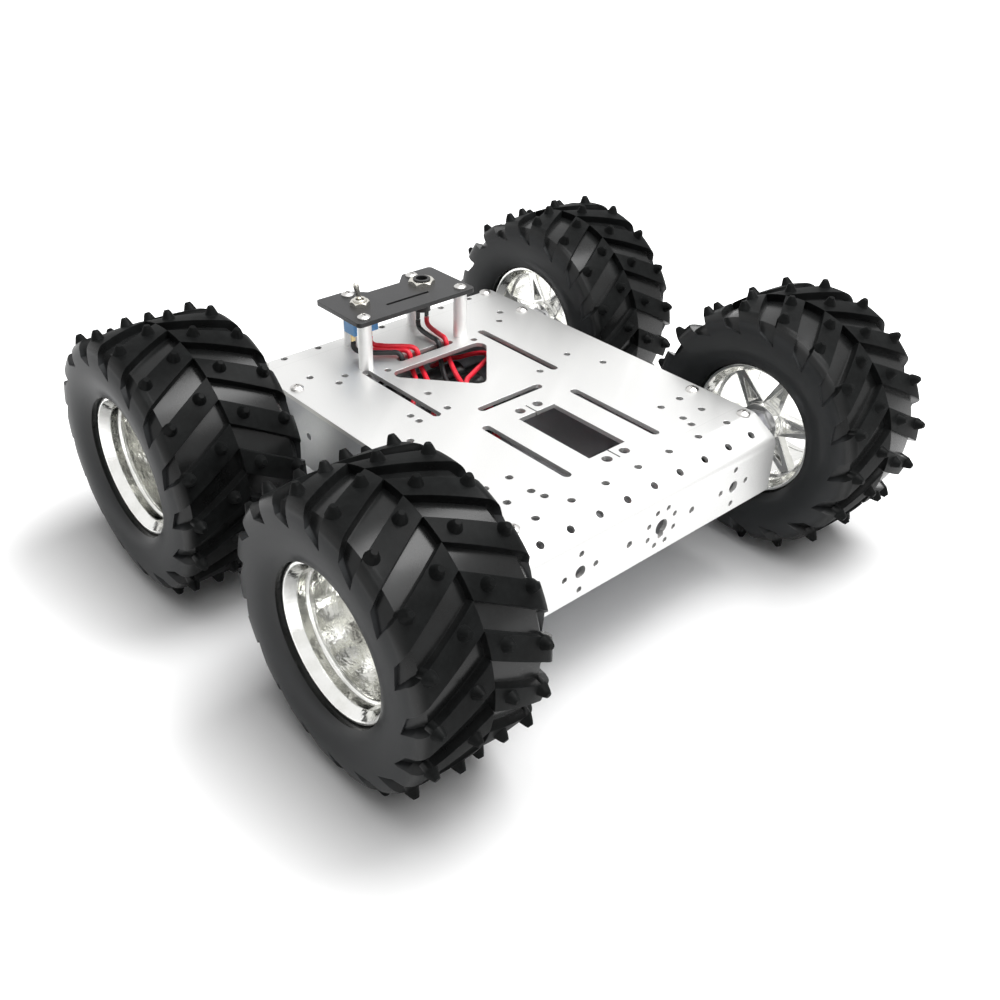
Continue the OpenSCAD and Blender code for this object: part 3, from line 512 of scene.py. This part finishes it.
class Cover(Enum):
    """The plastics, lacquers and wraps."""

    BLACK_LACQUER = Moulded("satin_black_lacquer", (0.010, 0.010, 0.011), (0.030, 0.030, 0.032),
                            0.34, 0.25 * MM)
    BLUE = Moulded("blue_moulding", (0.120, 0.380, 0.780), (0.160, 0.440, 0.840), 0.36, 0.3 * MM)
    JACK = Moulded("black_moulding", (0.012, 0.012, 0.013), (0.030, 0.030, 0.031), 0.42, 0.3 * MM)
    WRAP = Moulded("shrink_wrap", (0.010, 0.010, 0.011), (0.022, 0.022, 0.023), 0.30, 0.5 * MM,
                   wave=0.3 * MM)
    RED_LEAD = Moulded("red_silicone", (0.940, 0.020, 0.045), (0.980, 0.060, 0.090), 0.36, 0.3 * MM)
    BLACK_LEAD = Moulded("black_silicone", (0.012, 0.012, 0.013), (0.028, 0.028, 0.030), 0.42,
                         0.3 * MM)


class Corner(Enum):
    """The four wheels, each with its place along X and Y."""

    FRONT_LEFT = (1, 1)
    FRONT_RIGHT = (1, -1)
    REAR_LEFT = (-1, 1)
    REAR_RIGHT = (-1, -1)

    @property
    def label(self) -> str:
        """The name that the corner's nodes start with."""
        return self.name.lower()


_made: dict[str, bpy.types.Material] = {}


def material(finish: Enum) -> bpy.types.Material:
    """Builds a shared finish once.

    Args:
        finish: A member of Metal or Cover.

    Returns:
        Its material.
    """
    if finish.value.name not in _made:
        _made[finish.value.name] = finish.value.build()
    return _made[finish.value.name]


def dress(node: str, coat: bpy.types.Material) -> None:
    """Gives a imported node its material.

    Args:
        node: The node's name.
        coat: The material.
    """
    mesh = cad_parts[node].data
    mesh.materials.clear()
    mesh.materials.append(coat)
    log.info("dressed %s in %s", node, coat.name)


def add_piece(name: str, shape: bmesh.types.BMesh, coat: bpy.types.Material, body: str) -> bpy.types.Object:
    """Makes a modelled piece that rides on a body.

    Args:
        name: The piece's name.
        shape: Its mesh, freed here.
        coat: Its material.
        body: The body that it rides on.

    Returns:
        The object.
    """
    mesh = bpy.data.meshes.new(name)
    bmesh.ops.recalc_face_normals(shape, faces=shape.faces)
    shape.to_mesh(mesh)
    shape.free()
    mesh.shade_smooth()
    mesh.set_sharp_from_angle(angle=math.radians(35))
    mesh.materials.append(coat)
    piece = bpy.data.objects.new(name, mesh)
    bpy.context.scene.collection.objects.link(piece)
    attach(piece, body)
    log.info("made %s on %s", name, body)
    return piece


def spun(profile: list[tuple[float, float]], base: Vector, steps: int = 64) -> bmesh.types.BMesh:
    """Turns a closed profile about the upright line through a point.

    Args:
        profile: Radius and height of its corners, in metres.
        base: The point.
        steps: Segments in the turn.

    Returns:
        The turned ring.
    """
    shape = bmesh.new()
    corners = [shape.verts.new((radius, 0.0, height)) for radius, height in profile]
    rim = [shape.edges.new((a, b)) for a, b in zip(corners, corners[1:] + corners[:1])]
    bmesh.ops.spin(shape, geom=corners + rim, cent=(0, 0, 0), axis=(0, 0, 1), dvec=(0, 0, 0),
                   angle=2 * math.pi, steps=steps, use_merge=True)
    bmesh.ops.translate(shape, verts=shape.verts, vec=base)
    return shape


@dataclass
class Wheel:
    """One wheel with its drive: tyre, rim, hub adapter, screw, shaft, gearbox and motor."""

    corner: Corner

    def centre(self) -> Point:
        """Returns the middle of the tyre."""
        low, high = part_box(f"{self.corner.label}_rim")
        return tuple((low + high) / 2)

    def dress(self) -> None:
        """Gives the wheel's nodes and its drive's nodes their finishes."""
        label = self.corner.label
        dress(f"{label}_tyre", Rubber(f"{label}_rubber", self.centre()).build())
        dress(f"{label}_rim", material(Metal.CHROME))
        dress(f"{label}_hub_adapter", material(Metal.HUB))
        dress(f"{label}_wheel_screw", material(Metal.STEEL))
        dress(f"{label}_drive_shaft", material(Metal.SHAFT))
        dress(f"{label}_gearbox", material(Metal.GEARBOX))
        dress(f"{label}_motor", material(Metal.MOTOR))
        dress(f"{label}_terminals", material(Metal.BRASS))


@dataclass
class Deck:
    """The bent deck, the side plates, the floor plate and their screws."""

    # The side plates and the floor plate take a darker copy of the deck's blasted finish; the darkening is
    # painted shade.
    side_tone: Colour = (0.70, 0.71, 0.73)
    side_shade: Colour = (0.56, 0.57, 0.59)

    def dress(self) -> None:
        """Gives the sheets and screws their finishes."""
        dress("top_plate", BlastedAluminium("blasted_deck").build())
        # Painted shade: the deck's finish in darker colours for the side plates and the floor plate.
        side = BlastedAluminium("blasted_sides_painted_shade", self.side_tone, self.side_shade).build()
        for node in ("left_side_plate", "right_side_plate", "base_plate"):
            dress(node, side)
        for node in ("deck_screws", "base_screws", "gearbox_screws"):
            dress(node, material(Metal.STEEL))


@dataclass
class SwitchBracket:
    """The black bracket on its posts, with the toggle switch and the power jack."""

    thread_pitch: float = 0.5 * MM
    thread_depth: float = 0.16 * MM
    seat_r: float = 1.9 * MM

    def build(self) -> None:
        """Models the toggle's threaded bushing."""
        low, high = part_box("toggle_bushing")
        middle = (low + high) / 2
        radius = (high.x - low.x) / 2
        height = high.z - low.z
        turns = round(height / self.thread_pitch)
        profile = [(self.seat_r, height - 0.3 * MM), (self.seat_r, 0.0)]
        for turn in range(turns):
            foot = turn * self.thread_pitch
            profile += [(radius - self.thread_depth, foot), (radius, foot + self.thread_pitch / 2)]
        profile += [(radius - 2 * self.thread_depth, height), (self.seat_r + 0.5 * MM, height)]
        shape = spun(profile, Vector((middle.x, middle.y, low.z)))
        bushing = add_piece("threaded_bushing", shape, material(Metal.NICKEL), CHASSIS)
        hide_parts("toggle_bushing")

    def dress(self) -> None:
        """Gives the bracket's nodes their finishes."""
        dress("switch_bracket", material(Cover.BLACK_LACQUER))
        dress("bracket_posts", material(Metal.POST))
        for node in ("bracket_screws", "post_screws"):
            dress(node, material(Metal.STEEL))
        for node in ("toggle_nut", "toggle_lever", "jack_nut", "toggle_bushing"):
            dress(node, material(Metal.NICKEL))
        dress("toggle_body", material(Cover.BLUE))
        dress("toggle_terminals", material(Metal.BRASS))
        dress("jack_body", material(Cover.JACK))
        dress("battery_pack", material(Cover.WRAP))


@dataclass
class Lead:
    """One insulated wire, from its tab to its far end, in millimetres from the deck's top."""

    node: str
    coat: Cover
    slot: str
    route: list[Point]
    radius: float = 1.2 * MM

    def build(self, deck_top: float) -> bpy.types.Object:
        """Lays the wire.

        Args:
            deck_top: The height of the deck's top face, in metres.

        Returns:
            The wire.
        """
        points = [Vector(point) * MM + Vector((0, 0, deck_top)) for point in self.route]
        curve = bpy.data.curves.new(f"{self.node}_lead", "CURVE")
        curve.dimensions = "3D"
        curve.bevel_depth = self.radius
        curve.bevel_resolution = 3
        curve.resolution_u = 6
        curve.use_fill_caps = True
        line = curve.splines.new("BEZIER")
        line.bezier_points.add(len(points) - 1)
        for knot, point in zip(line.bezier_points, points):
            knot.co = point
            knot.handle_left_type = knot.handle_right_type = "AUTO"
        curve.materials.append(material(self.coat))
        lead = bpy.data.objects.new(f"{self.node}_lead", curve)
        bpy.context.scene.collection.objects.link(lead)
        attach(lead, CHASSIS)
        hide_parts(self.node)
        return lead


RED, BLACK = (Cover.RED_LEAD, "red_wire"), (Cover.BLACK_LEAD, "black_wire")
LEADS = [
    Lead("switch_wire_red", *RED, [
        (-65, -19.7, 7.3), (-65, -19.7, 5.2), (-64.2, -18.9, 3.6), (-61.6, -16.2, 2.9),
        (-57.6, -11.6, 2.7), (-54.4, -7.4, 2.5), (-51.6, -4.8, 2), (-49.9, -4.3, 0.6),
        (-49.5, -4.2, -1.4), (-48.9, -4.4, -3.8), (-46, -5, -6), (-41, -6.6, -8),
        (-34, -9.6, -9.4), (-28, -13.2, -10.6), (-22, -17.4, -11.8), (-16.6, -21.8, -13),
        (-13.4, -25.6, -14.2), (-12.4, -28.6, -17.2), (-12.25, -30.2, -20.4),
        (-12.25, -30, -22.1), (-12.25, -28.9, -23.1), (-12.25, -27.4, -23.25),
        (-12.25, -25.55, -23.25)]),
    Lead("switch_wire_red_two", *RED, [
        (-65, -24.4, 7.3), (-65, -24.4, 5.2), (-64.2, -23.6, 3.4), (-61.8, -21, 2.2),
        (-57.6, -16.2, 1.9), (-54.4, -12, 1.9), (-51.6, -9.2, 1.9), (-49.9, -8.8, 0.6),
        (-49.5, -8.8, -1.4), (-49, -9, -3.8), (-46.4, -9.8, -6.2), (-42, -11.6, -8.4),
        (-38, -15, -10.2), (-33.4, -19.4, -11.8), (-29.4, -24, -13.4), (-27.2, -28, -16.6),
        (-26.75, -30.2, -20.2), (-26.75, -30, -22.1), (-26.75, -28.9, -23.1),
        (-26.75, -27.4, -23.25), (-26.75, -25.55, -23.25)]),
    Lead("switch_wire_black", *BLACK, [
        (-65, -29.1, 7.3), (-65, -29.1, 5.2), (-64.2, -28.3, 3.4), (-61.8, -25.6, 2.4),
        (-57.6, -20.8, 2.2), (-54.4, -16.6, 2.2), (-51.6, -13.8, 2), (-49.9, -13.4, 0.6),
        (-49.5, -13.4, -1.4), (-49.5, -13.4, -3.6), (-50.6, -13.6, -5.8), (-54, -14, -8),
        (-58.5, -14.2, -11.4), (-62.4, -14.6, -15.6), (-65.2, -15.4, -18.8), (-66.4, -17, -20),
        (-66.5, -18.8, -20), (-66.5, -21, -20)]),
    Lead("jack_wire_red", *RED, [
        (-67.4, 15.2, 6.5), (-67.4, 15.2, 4.6), (-66.6, 15.1, 3.1), (-64.2, 14.8, 2.3),
        (-59.6, 14.2, 2.1), (-54.6, 13.4, 2.1), (-51.6, 13, 2), (-49.9, 12.8, 0.6),
        (-49.5, 12.8, -1.4), (-48.9, 12.4, -3.8), (-45.6, 11.2, -6.2), (-40.6, 9.2, -8.2),
        (-33, 6.2, -9.6), (-24, 3.6, -10.6), (-14, 2.2, -11.6), (-6.8, 1.8, -13.2),
        (-3, 1.5, -15.2), (-0.6, 1.4, -18.4), (-0.2, 1.4, -21.3), (-1.2, 1.4, -22.9),
        (-2.8, 1.4, -23.25), (-4.7, 1.4, -23.25)]),
    Lead("jack_wire_black", *BLACK, [
        (-67.4, 10, 6.5), (-67.4, 10, 4.6), (-66.6, 9.9, 3.1), (-64.2, 9.6, 2.3), (-59.6, 9.2, 2),
        (-54.6, 8.8, 2), (-51.6, 8.6, 2), (-49.9, 8.5, 0.6), (-49.5, 8.5, -1.4),
        (-48.9, 8.1, -3.8), (-45.8, 6.6, -6.8), (-41, 4, -9.4), (-34, 1, -11.4),
        (-25, -1.2, -12.6), (-14, -2.2, -13.4), (-7, -2.6, -14.4), (-3.2, -2.8, -16.4),
        (-0.8, -2.9, -19.2), (-0.4, -3, -21.6), (-1.4, -3, -22.9), (-3, -3, -23.25),
        (-4.7, -3, -23.25)]),
    Lead("motor_wire_red", *RED, [
        (-66.5, 21, -20), (-66.5, 18.8, -20), (-65.6, 16.8, -19.4), (-63, 16.6, -17.8),
        (-59, 19.8, -14.2), (-54.4, 25, -12.8), (-49.4, 29.8, -10.6), (-44, 32, -9),
        (-38.4, 29, -8), (-33.6, 21.4, -7.4), (-29, 12, -7.2), (-24.6, 4, -7.2),
        (-17, -0.6, -7.2), (-6, -2.6, -7.2), (5, -5.6, -7.2), (13, -11, -7.2), (20, -17.4, -7.6),
        (28, -20.8, -8.4), (36, -21.4, -9.8), (44, -20.4, -12), (52, -18.4, -14.8),
        (59, -16.4, -17.6), (63.6, -15.8, -19.4), (66, -16.8, -20), (66.5, -18.8, -20),
        (66.5, -21, -20)]),
]


@dataclass(frozen=True)
class Softbox:
    """A soft square lamp, with its place and side in metres and its power in watts."""

    name: str
    place: Point
    size: float
    power: float


@dataclass
class Studio:
    """The floor, the lamps, the white surround and the camera."""

    eye: Point = (0.3100, -0.2820, 0.2202)
    right: Point = (0.6665, 0.7451, 0.0234)
    down: Point = (0.4251, -0.3540, -0.8330)
    forward: Point = (-0.6124, 0.5652, -0.5528)
    lens: float = 38.94
    sensor: float = 36.0
    floor_half: float = 6.0
    floor_gap: float = 0.2 * MM
    sky_fill: float = 0.22
    aim: Point = (0, 0, 0.05)
    key: Softbox = Softbox("key_softbox", (0.20, 0.45, 1.05), 0.6, 8.0)
    top: Softbox = Softbox("top_softbox", (0.42, 0.0, 1.15), 1.1, 9.5)

    def camera(self, deck_top: float) -> None:
        """Sets the camera at the photograph's angle.

        Args:
            deck_top: The height of the deck's top face, from which the eye's height is measured.
        """
        data = bpy.data.cameras.new("camera")
        data.lens = self.lens
        data.sensor_width = self.sensor
        data.clip_start, data.clip_end = 0.01, 50.0
        eye = bpy.data.objects.new("camera", data)
        bpy.context.scene.collection.objects.link(eye)
        turn = Matrix((Vector(self.right), -Vector(self.down), -Vector(self.forward))).transposed()
        place = Vector(self.eye) + Vector((0, 0, deck_top))
        eye.matrix_world = Matrix.Translation(place) @ turn.to_4x4()
        bpy.context.scene.camera = eye

    def floor(self) -> None:
        """Lays the floor just under the wheels."""
        shape = bmesh.new()
        bmesh.ops.create_grid(shape, x_segments=8, y_segments=8, size=self.floor_half)
        mesh = bpy.data.meshes.new("floor")
        shape.to_mesh(mesh)
        shape.free()
        mesh.materials.append(PaleFloor().build())
        floor = bpy.data.objects.new("floor", mesh)
        bpy.context.scene.collection.objects.link(floor)
        floor.location.z = CAD_BOX[0].z - self.floor_gap

    def lamp(self, box: Softbox) -> None:
        """Hangs a lamp that points at the object.

        Args:
            box: The lamp.
        """
        data = bpy.data.lights.new(box.name, "AREA")
        data.shape = "SQUARE"
        data.size = box.size
        data.energy = box.power
        lamp = bpy.data.objects.new(box.name, data)
        bpy.context.scene.collection.objects.link(lamp)
        lamp.location = box.place
        lamp.rotation_mode = "QUATERNION"
        lamp.rotation_quaternion = (Vector(self.aim) - Vector(box.place)).to_track_quat("-Z", "Y")

    def surround(self) -> None:
        """Lights the object softly from all round and shows white behind it."""
        world = bpy.data.worlds.new("surround")
        bpy.context.scene.world = world
        world.use_nodes = True
        tree = world.node_tree
        tree.nodes.clear()
        path = tree.nodes.new("ShaderNodeLightPath")
        glossy = tree.nodes.new("ShaderNodeMath")
        glossy.operation = "MAXIMUM"
        tree.links.new(path.outputs["Is Camera Ray"], glossy.inputs[0])
        tree.links.new(path.outputs["Is Glossy Ray"], glossy.inputs[1])
        clear = tree.nodes.new("ShaderNodeMath")
        clear.operation = "MAXIMUM"
        tree.links.new(glossy.outputs[0], clear.inputs[0])
        tree.links.new(path.outputs["Is Transmission Ray"], clear.inputs[1])
        strength = tree.nodes.new("ShaderNodeMapRange")
        strength.inputs["To Min"].default_value = self.sky_fill
        strength.inputs["To Max"].default_value = 1.0
        tree.links.new(clear.outputs[0], strength.inputs["Value"])
        back = tree.nodes.new("ShaderNodeBackground")
        back.inputs["Color"].default_value = (1.0, 1.0, 1.0, 1.0)
        tree.links.new(strength.outputs[0], back.inputs["Strength"])
        out = tree.nodes.new("ShaderNodeOutputWorld")
        tree.links.new(back.outputs[0], out.inputs["Surface"])

    def build(self, deck_top: float) -> None:
        """Sets up the whole studio.

        Args:
            deck_top: The height of the deck's top face.
        """
        self.camera(deck_top)
        self.floor()
        self.lamp(self.key)
        self.lamp(self.top)
        self.surround()
        bpy.context.scene.view_settings.view_transform = "Standard"


def main() -> None:
    """Builds the sub-assemblies in order."""
    logging.basicConfig(level=logging.INFO, format="%(name)s: %(message)s")
    deck_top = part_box("top_plate")[1].z
    Studio().build(deck_top)
    for lead in LEADS:
        lead.build(deck_top)
    for corner in Corner:
        Wheel(corner).dress()
    Deck().dress()
    bracket = SwitchBracket()
    bracket.build()
    bracket.dress()


if __name__ == "__main__":
    main()
